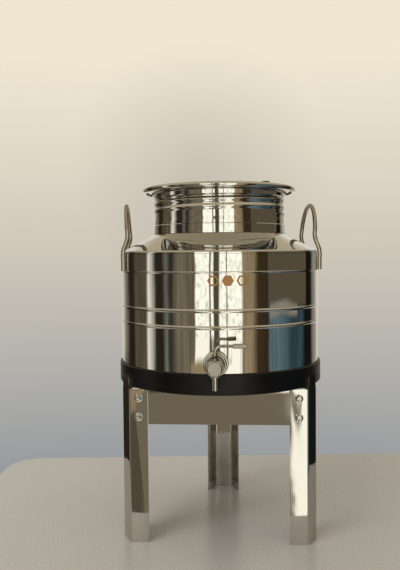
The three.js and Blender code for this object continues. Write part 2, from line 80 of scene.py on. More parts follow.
# ---- Sizes and colours that a user would change ----
def length(name, description, millimetres):
    return FloatProperty(
        name=name,
        description=description,
        default=millimetres * MM,
        min=0.0,
        precision=4,
        unit="LENGTH",
    )


def srgb(text):
    """A colour written as sRGB hex, made linear."""
    parts = [int(text[i : i + 2], 16) / 255 for i in (0, 2, 4)]
    return [c / 12.92 if c <= 0.04045 else ((c + 0.055) / 1.055) ** 2.4 for c in parts]


def paint(name, description, text):
    return FloatVectorProperty(
        name=name,
        description=description,
        default=srgb(text),
        size=3,
        min=0.0,
        max=1.0,
        subtype="COLOR",
    )


class DrumSizes(bpy.types.PropertyGroup):
    radius: length("Drum radius", "Outside of the wall", 150)
    sheet: length("Sheet", "Thickness of the drum's, neck's and lid's steel", 1)
    band_proud: length("Band bead", "How far the two bands stand out", 1.3)
    band_half: length("Band half width", "Half the height of a band", 2.4)
    seam_proud: length("Upper bead", "How far the thin bead stands out", 0.4)
    neck_radius: length("Neck radius", "Outside of the neck between its ridges", 100)
    mouth_step: length("Mouth step", "How much wider the neck is above its thread", 2.3)
    neck_flare: length("Neck flare", "Reach of the neck's flared lip", 6.5)
    thread_lead: length("Thread lead", "Rise of the thread in one turn", 10)
    thread_rise: length("Thread rise", "How far a ridge stands out", 1.5)
    thread_foot: length("Thread foot", "Start of the thread above the neck's foot", 28)
    lid_dish: length("Lid dish", "Depth of the sunken middle of the lid", 6)
    lid_curl: length("Lid curl", "Radius of the rolled edge", 3.7)
    handle_rod: length("Handle rod", "Radius of the rod of a handle", 3.1)
    handle_spread: length("Handle spread", "Between the two feet of a handle", 100)
    handle_lean: length("Handle lean", "How far the loop leans in", 6.5)
    handle_return: length("Handle return", "How far the loop's top stands back out", 2.8)
    ring_wall: length("Ring wall", "Thickness of the black ring", 3.3)
    ring_lip: length("Ring lip", "Width of the ring's floor", 15)
    badge: length("Badge cell", "Across a printed hexagon", 14)


class TapSizes(bpy.types.PropertyGroup):
    flange: length("Flange radius", "Rim against the wall", 17)
    collar: length("Collar radius", "Step in front of the flange", 14.5)
    neck: length("Tap neck radius", "Narrow part behind the housing", 8.5)
    housing: length("Housing radius", "Barrel round the ball", 11)
    shank: length("Shank radius", "Part that passes through the wall", 10)
    bore: length("Bore radius", "Way for the honey", 5)
    lever_rod: length("Lever rod", "Radius of the lever's rod", 2)
    lever_bend: length("Lever bend", "Radius of the lever's bend", 9)
    sleeve: length("Sleeve radius", "Grip on the lever's end", 3.1)


class StandSizes(bpy.types.PropertyGroup):
    sheet: length("Stand sheet", "Thickness of legs and aprons", 1.5)
    leg_face: length("Leg face", "Width of a leg's outer face", 28)
    leg_flange: length("Leg flange", "Width of a leg's folded flange", 26)
    leg_bend: length("Leg bend", "Radius of a leg's folds", 3.2)
    tab_corner: length("Tab corner", "Radius of the tab's corners", 6)
    ledge: length("Apron ledge", "Depth of an apron's folded edge", 15)
    apron_bend: length("Apron bend", "Radius of an apron's fold", 2.6)


class Colours(bpy.types.PropertyGroup):
    steel: paint("Mirror steel", "Polished stainless steel of the drum", "CBC9C4")
    stand_steel: paint("Stand steel", "Bright sheet of the legs and aprons", "CAC7C1")
    cast: paint("Cast steel", "Satin stainless steel of the tap", "BDB8AE")
    zinc: paint("Bolts", "Bright plating of the screws and nuts", "D4D5D4")
    ring: paint("Ring", "Black plastic under the drum", "060605")
    rubber: paint("Rubber", "Vent plug and washers", "121211")
    seal: paint("Seal", "Silicone gasket of the lid", "E4E1D8")
    badge: paint("Badge", "Print on the front of the drum", "B27A2A")
    table: paint("Table", "Floor under the stand", "BCBAB7")


# ---- Lines and outlines in a plane ----
def cross(a, b):
    return a.x * b.y - a.y * b.x


def rounded(corners, steps=6):
    """Points (x, y) as they are, and points (x, y, radius) turned into arcs."""
    at = [Vector(c[:2]) for c in corners]
    line = []
    for k, corner in enumerate(corners):
        if len(corner) < 3:
            line.append(at[k])
            continue
        into = (at[k] - at[k - 1]).normalized()
        out = (at[(k + 1) % len(at)] - at[k]).normalized()
        turn = atan2(cross(into, out), into.dot(out))
        start = at[k] - into * corner[2] * tan(abs(turn) / 2)
        side = Vector((-into.y, into.x)) * (corner[2] if turn > 0 else -corner[2])
        for i in range(steps + 1):
            spun = Matrix.Rotation(turn * i / steps, 2) @ -side
            line.append(start + side + spun)
    return line


def sheet_outline(line, thickness):
    """The closed outline of a sheet whose middle follows an open line."""

    def offset(sign):
        found = []
        for k, point in enumerate(line):
            into = point - line[max(k - 1, 0)]
            out = line[min(k + 1, len(line) - 1)] - point
            if k == 0:
                into = out
            if k == len(line) - 1:
                out = into
            a = Vector((-into.y, into.x)).normalized()
            b = Vector((-out.y, out.x)).normalized()
            found.append(point + (a + b) * sign * thickness / 2 / (1 + a.dot(b)))
        return found

    return offset(-1) + offset(1)[::-1]


def braced(outline, reach=0.4 * MM):
    """The outline with a point just inside each end of its long straight stretches, which
    keeps the shading of a long face flat up to the bend beside it."""
    line = []
    for a, b in zip(outline, outline[1:] + outline[:1]):
        a, b = Vector(a[:2]), Vector(b[:2])
        line.append(a)
        if (b - a).length > 5 * reach and a.x + b.x > 1e-7:
            step = (b - a).normalized() * reach
            line += [a + step, b - step]
    return line


def rows(radius, start, end, step):
    """An upright stretch in even steps, its first and last points included."""
    count = max(1, round((end - start) / step))
    return [Vector((radius, start + (end - start) * k / count)) for k in range(count + 1)]


# ---- Meshes ----
def turned(outline, steps=ROUND):
    """An outline of (radius, height) spun round Z. One that meets the axis is left open there."""
    bm = bmesh.new()
    verts = [bm.verts.new((p[0], 0, p[1])) for p in braced(outline)]
    ends = zip(verts, verts[1:] + verts[:1])
    edges = [
        bm.edges.new(pair) for pair in ends if pair[0].co.x + pair[1].co.x > 1e-7
    ]
    bmesh.ops.spin(
        bm,
        geom=verts + edges,
        cent=(0, 0, 0),
        axis=(0, 0, 1),
        angle=2 * pi,
        steps=steps,
        use_merge=True,
    )
    return closed(bm)


def closed(bm):
    bmesh.ops.remove_doubles(bm, verts=bm.verts, dist=1e-6)
    bmesh.ops.recalc_face_normals(bm, faces=bm.faces)
    return bm


def turned_sheet(line, thickness, steps=ROUND):
    return turned(sheet_outline(line, thickness), steps)


def pulled(outline, depth):
    """A closed outline in XY pulled up along Z to a solid."""
    bm = bmesh.new()
    face = bm.faces.new([bm.verts.new((p[0], p[1], 0)) for p in outline])
    made = bmesh.ops.extrude_face_region(bm, geom=[face])
    raised = [v for v in made["geom"] if isinstance(v, bmesh.types.BMVert)]
    bmesh.ops.translate(bm, verts=raised, vec=(0, 0, depth))
    return closed(bm)


def rod(radius, start, end, steps=TURNED):
    """A plain tool for cutting, along Z."""
    bm = bmesh.new()
    bmesh.ops.create_cone(
        bm,
        cap_ends=True,
        segments=steps,
        radius1=radius,
        radius2=radius,
        depth=end - start,
        matrix=Matrix.Translation((0, 0, (start + end) / 2)),
    )
    return bm


def moved(bm, *matrices):
    for matrix in matrices:
        bm.transform(matrix)
    return bm


def worked(bm, tools, operation="DIFFERENCE"):
    """The solid with other solids cut away, or added to it."""
    things = []
    for part in [bm, *tools]:
        mesh = bpy.data.meshes.new("working")
        part.to_mesh(mesh)
        part.free()
        thing = bpy.data.objects.new("working", mesh)
        bpy.context.scene.collection.objects.link(thing)
        things.append(thing)
    for tool in things[1:]:
        modifier = things[0].modifiers.new("work", "BOOLEAN")
        modifier.operation = operation
        modifier.solver = "EXACT"
        modifier.object = tool
    graph = bpy.context.evaluated_depsgraph_get()
    made = bmesh.new()
    made.from_object(things[0], graph)
    for thing in things:
        mesh = thing.data
        bpy.data.objects.remove(thing)
        bpy.data.meshes.remove(mesh)
    if not made.faces:
        raise RuntimeError("a cut left nothing of its piece")
    bmesh.ops.remove_doubles(made, verts=made.verts, dist=1e-6)
    bmesh.ops.dissolve_degenerate(made, edges=made.edges, dist=1e-6)
    return made


def swept(points, radius, steps=10, sides=14):
    """A round rod along a smooth line, as a mesh."""
    curve = bpy.data.curves.new("rod", "CURVE")
    curve.dimensions = "3D"
    curve.resolution_u = steps
    curve.bevel_depth = radius
    curve.bevel_resolution = sides
    curve.use_fill_caps = True
    spline = curve.splines.new("BEZIER")
    spline.bezier_points.add(len(points) - 1)
    for place, point in zip(spline.bezier_points, points):
        place.co = point
        place.handle_left_type = place.handle_right_type = "AUTO"
    thing = bpy.data.objects.new("rod", curve)
    bpy.context.scene.collection.objects.link(thing)
    bpy.context.view_layer.update()
    mesh = bpy.data.meshes.new_from_object(
        thing.evaluated_get(bpy.context.evaluated_depsgraph_get())
    )
    bm = bmesh.new()
    bm.from_mesh(mesh)
    bpy.data.objects.remove(thing)
    bpy.data.curves.remove(curve)
    bpy.data.meshes.remove(mesh)
    return closed(bm)


def about_z(degrees):
    return Matrix.Rotation(radians(degrees), 4, "Z")


def forward():
    """From along Z to along -Y at the tap's height: the drum's axis stays the start."""
    return Matrix.Translation((0, 0, TAP_HEIGHT)) @ Matrix.Rotation(pi / 2, 4, "X")


def at_nozzle():
    return Matrix.Translation((0, -NOZZLE_OUT, TAP_HEIGHT))


def piece(name, bm, material, body, slot, *nodes, crease=CREASE):
    """The mesh, drawn round the drum's axis, as a finished piece that stands for CAD nodes."""
    bm.transform(Matrix.Translation(AXIS))
    mesh = bpy.data.meshes.new(name)
    bm.to_mesh(mesh)
    bm.free()
    mesh.shade_smooth()
    mesh.set_sharp_from_angle(angle=crease)
    thing = bpy.data.objects.new(name, mesh)
    bpy.context.scene.collection.objects.link(thing)
    thing.data.materials.append(material)
    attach(thing, body)
    if nodes:
        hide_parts(*nodes)
    return thing


def carried(node, material):
    """A CAD node that is shown as it is, in its own finish."""
    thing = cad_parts[node]
    thing.data.materials.clear()
    thing.data.materials.append(material)


# ---- Materials ----
def add(tree, kind, links=(), **settings):
    """One node with its settings, and its inputs fed from other sockets or set to values."""
    node = tree.nodes.new(kind)
    for name, value in settings.items():
        setattr(node, name, value)
    for socket, source in dict(links).items():
        if isinstance(source, bpy.types.NodeSocket):
            tree.links.new(source, node.inputs[socket])
        else:
            node.inputs[socket].default_value = source
    return node


def surface(name, colour, links):
    """A new material with one Principled shader, or the one of that name."""
    if name in bpy.data.materials:
        return bpy.data.materials[name]
    material = bpy.data.materials.new(name)
    material.use_nodes = True
    tree = material.node_tree
    tree.nodes.clear()
    place = add(tree, "ShaderNodeTexCoord").outputs["Object"]
    settings = links(tree, place)
    if "Base Color" not in settings:
        settings["Base Color"] = (*colour, 1)
    shader = add(tree, "ShaderNodeBsdfPrincipled", settings)
    out = add(tree, "ShaderNodeOutputMaterial")
    tree.links.new(shader.outputs[0], out.inputs["Surface"])
    material.diffuse_color = (*colour, 1)
    return material


def stretched(tree, place, scale):
    return add(tree, "ShaderNodeMapping", {"Vector": place, "Scale": scale}).outputs[0]


def noise(tree, place, scale, detail=2.0, roughness=0.5):
    links = {"Vector": place, "Scale": scale, "Detail": detail, "Roughness": roughness}
    return add(tree, "ShaderNodeTexNoise", links).outputs["Fac"]


def ranged(tree, value, from_low, from_high, to_low, to_high):
    links = {
        "Value": value,
        "From Min": from_low,
        "From Max": from_high,
        "To Min": to_low,
        "To Max": to_high,
    }
    return add(tree, "ShaderNodeMapRange", links).outputs[0]


def bump(tree, height, distance, strength=1.0, normal=None):
    links = {"Height": height, "Distance": distance, "Strength": strength}
    if normal is not None:
        links["Normal"] = normal
    return add(tree, "ShaderNodeBump", links).outputs[0]


def blend(tree, amount, first, second):
    """Two colours mixed: each a socket or linear numbers."""
    node = add(tree, "ShaderNodeMix", {0: amount}, data_type="RGBA")
    for k, colour in ((6, first), (7, second)):
        if isinstance(colour, bpy.types.NodeSocket):
            tree.links.new(colour, node.inputs[k])
        else:
            node.inputs[k].default_value = (*colour, 1)
    return node.outputs[2]


def shade(colour, share):
    return [c * share for c in colour]


EDGE = (0.5, 0.47, 0.43)  # tint of worked steel seen edge-on


def mirror_polished_stainless(colours):
    """Buffed 304 sheet: a clear reflection, a slow waver where the sheet was rolled and
    pressed, and faint upright marks from the polishing wheel."""

    def links(tree, place):
        waver = noise(tree, stretched(tree, place, (1, 1, 0.45)), 26, 1.0)
        buffing = noise(tree, stretched(tree, place, (1, 1, 0.03)), 700, 3.0, 0.6)
        haze = noise(tree, place, 14, 4.0, 0.6)
        cloudy = ranged(tree, haze, 0.35, 0.75, 0.02, 0.05)
        normal = bump(tree, waver, 0.45 * MM)
        normal = bump(tree, buffing, 0.004 * MM, 1.0, normal)
        return {"Metallic": 1.0, "Roughness": cloudy, "Normal": normal}

    return surface("mirror_polished_stainless", colours.steel, links)


def bright_stainless_sheet(colours):
    """Folded bright-annealed sheet: clear reflections a little broken by the fold's pull,
    with fine scratches along the sheet."""

    def links(tree, place):
        pull = noise(tree, stretched(tree, place, (1, 1, 0.6)), 20, 1.5)
        grain = noise(tree, stretched(tree, place, (1, 1, 0.02)), 900, 2.0)
        haze = noise(tree, place, 22, 4.0, 0.65)
        cloudy = ranged(tree, haze, 0.3, 0.8, 0.035, 0.08)
        normal = bump(tree, pull, 0.5 * MM)
        normal = bump(tree, grain, 0.006 * MM, 1.0, normal)
        return {"Metallic": 1.0, "Roughness": cloudy, "Normal": normal}

    return surface("bright_stainless_sheet", colours.stand_steel, links)


def satin_cast_stainless(colours):
    """Investment-cast steel, turned and tumbled: a soft reflection and a fine even grain
    about 0.4 mm across, drawn coarser than the real one so that it shows."""

    def links(tree, place):
        grain = noise(tree, place, 2400, 2.0)
        mottle = noise(tree, place, 160, 3.0)
        rough = ranged(tree, mottle, 0.3, 0.7, 0.09, 0.17)
        tone = blend(tree, mottle, shade(colours.cast, 0.86), colours.cast)
        return {
            "Metallic": 1.0,
            "Roughness": rough,
            "Normal": bump(tree, grain, 0.03 * MM, 0.6),
            "Base Color": tone,
            "Specular Tint": (*EDGE, 1),
        }

    return surface("satin_cast_stainless", colours.cast, links)


def turned_stainless(colours):
    """Lathe-turned bar: a broad soft shine and tool rings about 0.5 mm apart."""

    def links(tree, place):
        rings = noise(tree, place, 1900, 1.0)
        mottle = noise(tree, place, 210, 3.0)
        return {
            "Metallic": 1.0,
            "Roughness": ranged(tree, mottle, 0.3, 0.7, 0.3, 0.42),
            "Normal": bump(tree, rings, 0.02 * MM, 0.6),
            "Base Color": blend(tree, mottle, shade(colours.cast, 0.86), colours.cast),
            "Specular Tint": (*EDGE, 1),
        }

    return surface("turned_stainless", colours.cast, links)


def drawn_stainless_rod(colours):
    """Drawn and bent rod: a soft shine along its length, with die marks a few tenths of a
    millimetre apart and a slightly brown heat tint."""

    def links(tree, place):
        marks = noise(tree, stretched(tree, place, (1, 1, 0.05)), 1300, 2.0)
        mottle = noise(tree, place, 60, 3.0)
        dark = [c * t for c, t in zip(colours.cast, (0.72, 0.66, 0.6))]
        return {
            "Metallic": 1.0,
            "Roughness": ranged(tree, mottle, 0.3, 0.7, 0.17, 0.25),
            "Normal": bump(tree, marks, 0.008 * MM, 0.6),
            "Base Color": blend(tree, mottle, dark, colours.cast),
            "Specular Tint": (*EDGE, 1),
        }

    return surface("drawn_stainless_rod", colours.cast, links)


def zinc_plated_steel(colours):
    """Bright zinc on rolled bolts: a clean cool shine with a slight orange-peel."""

    def links(tree, place):
        peel = noise(tree, place, 900, 1.0)
        tone = blend(tree, peel, shade(colours.zinc, 0.9), colours.zinc)
        rough = ranged(tree, peel, 0.3, 0.7, 0.08, 0.15)
        normal = bump(tree, peel, 0.02 * MM, 0.7)
        return {"Metallic": 1.0, "Roughness": rough, "Normal": normal, "Base Color": tone}

    return surface("zinc_plated_steel", colours.zinc, links)


def moulded_black_polypropylene(colours):
    """Spark-eroded moulding, grain about 0.6 mm, with a faint dusting where hands and
    cloths have passed."""

    def links(tree, place):
        grain = noise(tree, place, 1600, 2.0)
        dust = noise(tree, stretched(tree, place, (1, 1, 2.2)), 34, 6.0, 0.7)
        settled = ranged(tree, dust, 0.5, 0.85, 0.0, 1.0)
        tone = blend(tree, settled, colours.ring, srgb("12110F"))
        rough = ranged(tree, dust, 0.3, 0.8, 0.34, 0.5)
        normal = bump(tree, grain, 0.05 * MM, 0.5)
        sheen = {"Specular IOR Level": 0.28}
        return {"Roughness": rough, "Normal": normal, "Base Color": tone, **sheen}

    return surface("moulded_black_polypropylene", colours.ring, links)


def black_nitrile_rubber(colours):
    """Pressed rubber: matt, with a fine talc bloom in patches a few millimetres across."""

    def links(tree, place):
        bloom = noise(tree, place, 240, 4.0, 0.6)
        tone = blend(tree, ranged(tree, bloom, 0.45, 0.8, 0, 1), colours.rubber, srgb("262523"))
        normal = bump(tree, noise(tree, place, 1800, 2.0), 0.03 * MM, 0.5)
        rough = ranged(tree, bloom, 0.3, 0.8, 0.55, 0.75)
        return {"Roughness": rough, "Normal": normal, "Base Color": tone}

    return surface("black_nitrile_rubber", colours.rubber, links)


def white_silicone(colours):
    """Moulded food silicone: a soft milky surface, slightly see-through at its edges."""

    def links(tree, place):
        cloud = noise(tree, place, 120, 3.0)
        tone = blend(tree, cloud, shade(colours.seal, 0.93), colours.seal)
        normal = bump(tree, noise(tree, place, 1500, 1.0), 0.02 * MM, 0.4)
        return {
            "Roughness": ranged(tree, cloud, 0.3, 0.7, 0.42, 0.55),
            "Normal": normal,
            "Base Color": tone,
            "Subsurface Weight": 0.1,
            "Subsurface Scale": 0.002,
        }

    return surface("white_silicone", colours.seal, links)


def turned_ptfe(colours):
    """Machined seat rings of the ball valve: waxy white with turning rings 0.3 mm apart."""

    def links(tree, place):
        wave = noise(tree, stretched(tree, place, (1, 30, 1)), 120, 1.0)
        tone = blend(tree, wave, shade(colours.seal, 0.9), colours.seal)
        return {
            "Roughness": ranged(tree, wave, 0.3, 0.7, 0.35, 0.5),
            "Normal": bump(tree, wave, 0.02 * MM, 0.4),
            "Base Color": tone,
        }

    return surface("turned_ptfe", colours.seal, links)


def screen_print_enamel(colours):
    """Screen-printed enamel: an even glossy coat with the mesh's faint mottle."""

    def links(tree, place):
        mottle = noise(tree, place, 700, 2.0)
        tone = blend(tree, mottle, shade(colours.badge, 0.88), colours.badge)
        return {
            "Roughness": ranged(tree, mottle, 0.3, 0.7, 0.22, 0.34),
            "Normal": bump(tree, mottle, 0.01 * MM, 0.5),
            "Base Color": tone,
            "Coat Weight": 0.3,
            "Coat Roughness": 0.1,
        }

    return surface("screen_print_enamel", colours.badge, links)


def laminate_table(colours):
    """Pale laminate board with a soft sheen and a mottle about 60 mm across."""

    def links(tree, place):
        cloud = noise(tree, place, 9, 3.0, 0.5)
        fleck = noise(tree, place, 500, 2.0)
        tone = blend(tree, cloud, shade(colours.table, 0.95), colours.table)
        return {
            "Roughness": ranged(tree, fleck, 0.3, 0.7, 0.24, 0.3),
            "Normal": bump(tree, fleck, 0.03 * MM, 0.2),
            "Base Color": tone,
        }

    return surface("laminate_table", colours.table, links)


# ---- Drum ----
THREAD_START = radians(34 - 90)


def smooth(value, edge, width):
    share = min(max((value - edge) / width, 0), 1)
    return share * share * (3 - 2 * share)


def threaded(bm, sizes, foot, turns, top):
    """Moves each point below a height out by a helical ridge."""
    for vert in bm.verts:
        if vert.co.z > top:
            continue
        angle = atan2(vert.co.y, vert.co.x) - THREAD_START
        share = (angle % (2 * pi)) / (2 * pi)
        height = vert.co.z - foot
        along = round(height / sizes.thread_lead - share) + share
        across = height - along * sizes.thread_lead
        fade = smooth(along, 0, 0.15) * (1 - smooth(along, turns - 0.15, 0.15))
        rise = sizes.thread_rise * fade * cos(pi * across / sizes.thread_lead) ** 2
        out = 1 + rise / hypot(vert.co.x, vert.co.y)
        vert.co.x *= out
        vert.co.y *= out
    bmesh.ops.recalc_face_normals(bm, faces=bm.faces)
    return bm


def bead(middle, height, half, proud):
    """A rolled band: rises and falls in a smooth swell."""
    steps = 10
    line = []
    for k in range(steps + 1):
        share = k / steps
        line.append(
            Vector(
                (
                    middle + proud * sin(pi * share) ** 1.5,
                    height - half + 2 * half * share,
                )
            )
        )
    return line


class HONEYDRUM_OT_wall(bpy.types.Operator):
    """Make the drum's wall with its beads and its base"""

    bl_idname = "honeydrum.wall"
    bl_label = "Drum Wall"

    def execute(self, context):
        sizes = context.scene.drum_sizes
        steel = mirror_polished_stainless(context.scene.drum_colours)
        middle = sizes.radius - sizes.sheet / 2
        foot, top = low("drum_wall").z, high("drum_wall").z
        tap = 20 * MM
        line = [Vector((middle, foot)), Vector((middle, foot + 3 * MM))]
        line += rows(middle, TAP_HEIGHT - tap, TAP_HEIGHT + tap, 5 * MM)
        for above in (87, 109.5):
            line += bead(middle, foot + above * MM, sizes.band_half, sizes.band_proud)
        line += bead(middle, top - 25 * MM, 1.3 * MM, sizes.seam_proud)
        line += [Vector((middle, top - 3 * MM)), Vector((middle, top))]
        hole = moved(rod(TAP_HOLE, 0.12, 0.18), forward())
        wall = worked(turned_sheet(line, sizes.sheet), [hole])
        piece("wall_shell", wall, steel, "drum", "mirror_steel", "drum_wall")

        skirt = sizes.radius - 1.5 * sizes.sheet - GAP
        floor = foot + 7 * MM
        base = rounded([(0, floor), (skirt, floor, 4 * MM), (skirt, foot)])
        base[0].x = 0
        bottom = turned_sheet(base, sizes.sheet)
        piece("base_pan", bottom, steel, "drum", "mirror_steel", "drum_bottom")
        return {"FINISHED"}


class HONEYDRUM_OT_shoulder(bpy.types.Operator):
    """Make the sloping shoulder between the wall and the neck"""

    bl_idname = "honeydrum.shoulder"
    bl_label = "Shoulder"

    def execute(self, context):
        sizes = context.scene.drum_sizes
        steel = mirror_polished_stainless(context.scene.drum_colours)
        middle = sizes.radius - sizes.sheet / 2
        foot, top = low("drum_shoulder").z, high("drum_shoulder").z
        line = rounded(
            [
                (middle, foot),
                (middle, foot + 3.2 * MM, 3.2 * MM),
                (sizes.neck_radius + 1.5 * MM, top - sizes.sheet / 2, 3 * MM),
                (sizes.neck_radius - 4 * MM, top - sizes.sheet / 2),
            ]
        )
        shoulder = turned_sheet(line, sizes.sheet)
        piece("shoulder_cone", shoulder, steel, "drum", "mirror_steel", "drum_shoulder")
        return {"FINISHED"}


class HONEYDRUM_OT_neck(bpy.types.Operator):
    """Make the threaded neck with its flared lip"""

    bl_idname = "honeydrum.neck"
    bl_label = "Neck"

    def execute(self, context):
        sizes = context.scene.drum_sizes
        steel = mirror_polished_stainless(context.scene.drum_colours)
        foot, top = low("neck_collar").z, high("neck_collar").z
        valley = sizes.neck_radius - sizes.sheet / 2
        mouth = valley + sizes.mouth_step
        widens = foot + 53 * MM
        line = [
            Vector((valley + 1.4 * MM, foot)),
            Vector((valley + 1.2 * MM, foot + 2.5 * MM)),
            Vector((valley + 1.1 * MM, foot + 12.6 * MM)),
            Vector((valley + 0.5 * MM, foot + 13.4 * MM)),
            Vector((valley + 0.5 * MM, foot + 18 * MM)),
        ]
        line += rows(valley, foot + 23 * MM, widens, 0.7 * MM)
        line += rounded(
            [
                (mouth, widens + 0.8 * sizes.mouth_step),
                (mouth, top - sizes.sheet / 2, 2.2 * MM),
                (mouth + sizes.neck_flare, top - sizes.sheet / 2),
            ]
        )
        neck = turned_sheet(line, sizes.sheet)
        threaded(neck, sizes, foot + sizes.thread_foot, 99, widens + 0.6 * MM)
        piece("neck_shell", neck, steel, "drum", "mirror_steel", "neck_collar")
        return {"FINISHED"}


class HONEYDRUM_OT_lid(bpy.types.Operator):
    """Make the dished lid with its threaded plug, gasket and vent"""

    bl_idname = "honeydrum.lid"
    bl_label = "Lid"

    def execute(self, context):
        sizes, colours = context.scene.drum_sizes, context.scene.drum_colours
        steel = mirror_polished_stainless(colours)
        level = high("lid_top").z - sizes.sheet / 2
        edge = (high("lid_top").x - low("lid_top").x) / 2 - sizes.sheet / 2
        dish, curl = sizes.neck_radius - 20 * MM, sizes.lid_curl
        line = rounded(
            [
                (0, level - sizes.lid_dish),
                (dish - sizes.lid_dish, level - sizes.lid_dish, 4 * MM),
                (dish, level, 4 * MM),
                (edge - curl, level),
            ],
            8,
        )
        centre = Vector((edge - curl, level - curl))
        for k in range(1, 17):
            turn = radians(90 - 220 * k / 16)
            line.append(centre + Vector((cos(turn), sin(turn))) * curl)
        out = Vector((sizes.neck_radius - 9 * MM, 0, 0))
        at_vent = Matrix.Translation(about_z(-40) @ out)
        hole = moved(rod(4.3 * MM, level - 5 * MM, level + 5 * MM), at_vent)
        plate = worked(turned_sheet(line, sizes.sheet), [hole])
        piece("lid_plate", plate, steel, "lid", "mirror_steel", "lid_top")

        foot = low("neck_collar").z + sizes.thread_foot
        low_end, top = low("lid_thread_ring").z, high("lid_thread_ring").z
        middle = sizes.neck_radius - 1.5 * sizes.sheet - 0.75 * MM
        ends = foot + 2.5 * sizes.thread_lead
        side = rows(middle, low_end, ends, 0.8 * MM) + [Vector((middle, top))]
        ring = threaded(turned_sheet(side, sizes.sheet), sizes, foot, 2, ends)
        piece("lid_plug_ring", ring, steel, "lid", "mirror_steel", "lid_thread_ring")

        seat, face = low("lid_gasket").z, high("lid_gasket").z
        outer = (high("lid_gasket").x - low("lid_gasket").x) / 2
        inner = outer - 6 * MM
        soft = 0.9 * MM
        seal = turned(
            rounded(
                [
                    (inner, seat, soft),
                    (outer, seat, soft),
                    (outer, face, soft),
                    (inner, face, soft),
                ]
            )
        )
        piece("lid_seal", seal, white_silicone(colours), "gasket", "white_silicone", "lid_gasket")

        foot, top = low("vent_plug").z, high("vent_plug").z
        seat = high("lid_top").z + GAP
        plug = turned(
            rounded(
                [
                    (0, foot),
                    (3 * MM, foot, 0.6 * MM),
                    (4 * MM, foot + 2.5 * MM, 0.5 * MM),
                    (4 * MM, seat),
                    (6.2 * MM, seat, 0.5 * MM),
                    (6.2 * MM, top, 1.5 * MM),
                    (0, top),
                ],
                4,
            ),
            TURNED,
        )
        tab = pulled(
            rounded(
                [
                    (-12.8 * MM, -3 * MM, 2 * MM),
                    (0, -3 * MM),
                    (0, 3 * MM),
                    (-12.8 * MM, 3 * MM, 2 * MM),
                ]
            ),
            2.4 * MM,
        )
        moved(tab, Matrix.Translation((0, 0, top - 4 * MM)))
        plug = moved(worked(plug, [tab], "UNION"), at_vent)
        rubber = black_nitrile_rubber(colours)
        piece("vent_stopper", plug, rubber, "vent", "black_rubber", "vent_plug")
        return {"FINISHED"}


class HONEYDRUM_OT_handles(bpy.types.Operator):
    """Make the two bent rod handles"""

    bl_idname = "honeydrum.handles"
    bl_label = "Handles"

    def execute(self, context):
        sizes = context.scene.drum_sizes
        steel = drawn_stainless_rod(context.scene.drum_colours)
        half = sizes.handle_spread / 2
        out_far = sizes.radius + GAP + sizes.handle_rod
        out = (out_far**2 - half**2) ** 0.5
        foot = low("handle_right").z
        loop_top = high("handle_right").z - sizes.handle_rod
        springing = foot + 50 * MM
        inner = half - 2.5 * MM
        side = [(out, -half, foot), (out, -half, foot + 15 * MM), (out, -half, foot + 27 * MM)]
        loop = []
        for k in range(13):
            turn = pi * k / 12
            across = -inner * cos(turn)
            height = springing + (loop_top - springing) * sin(turn)
            lean = sizes.handle_lean - sizes.handle_return * sin(turn)
            loop.append((out - lean, across, height))
        back = [(x, -y, z) for x, y, z in reversed(side)]
        for name, turn in (("right", HANDLE_TURN), ("left", 180 + HANDLE_TURN)):
            bent = moved(swept(side + loop + back, sizes.handle_rod), about_z(turn))
            node = f"handle_{name}"
            piece(f"{name}_handle_rod", bent, steel, "drum", "mirror_steel", node)
        return {"FINISHED"}


class HONEYDRUM_OT_ring(bpy.types.Operator):
    """Make the black plastic ring that the drum stands in"""

    bl_idname = "honeydrum.ring"
    bl_label = "Base Ring"

    def execute(self, context):
        sizes, colours = context.scene.drum_sizes, context.scene.drum_colours
        inner = sizes.radius + GAP
        outer = inner + sizes.ring_wall
        foot, top = low("base_ring").z, high("base_ring").z
        lip, floor = outer - sizes.ring_lip, foot + 3 * MM
        ring = turned(
            rounded(
                [
                    (lip, foot, 0.8 * MM),
                    (outer, foot, 2.2 * MM),
                    (outer, top, 2 * MM),
                    (inner, top, 0.8 * MM),
                    (inner, floor),
                    (lip, floor, 0.8 * MM),
                ]
            )
        )
        black = moulded_black_polypropylene(colours)
        piece("foot_ring", ring, black, "drum", "black_plastic", "base_ring")
        return {"FINISHED"}


class HONEYDRUM_OT_badge(bpy.types.Operator):
    """Print three hexagons, like cells of a comb, on the front of the drum"""

    bl_idname = "honeydrum.badge"
    bl_label = "Badge"

    def execute(self, context):
        sizes, colours = context.scene.drum_sizes, context.scene.drum_colours
        enamel = screen_print_enamel(colours)
        radius = sizes.radius + 0.06 * MM
        cell = sizes.badge / 3**0.5
        height = low("drum_wall").z + 150 * MM
        middle = 16.5 * MM
        for k, name in enumerate(("left", "middle", "right")):
            bm = bmesh.new()
            if k == 1:
                bmesh.ops.create_circle(bm, cap_ends=True, segments=6, radius=cell)
                bmesh.ops.triangulate(bm, faces=bm.faces)
            else:
                for size in (cell, cell * 0.66):
                    bmesh.ops.create_circle(bm, segments=6, radius=size)
                bmesh.ops.bridge_loops(bm, edges=bm.edges[:])
            bmesh.ops.rotate(bm, verts=bm.verts, matrix=Matrix.Rotation(pi / 6, 3, "Z"))
            bmesh.ops.subdivide_edges(bm, edges=bm.edges, cuts=3, use_grid_fill=True)
            bmesh.ops.solidify(bm, geom=bm.faces[:], thickness=0.1 * MM)
            across = middle + (k - 1) * sizes.badge * 1.4
            for vert in bm.verts:
                turn = (vert.co.x + across) / radius
                out = radius + vert.co.z + 0.1 * MM
                vert.co = (out * sin(turn), -out * cos(turn), height + vert.co.y)
            closed(bm)
            piece(f"comb_cell_{name}", bm, enamel, "drum", "mirror_steel")
        return {"FINISHED"}


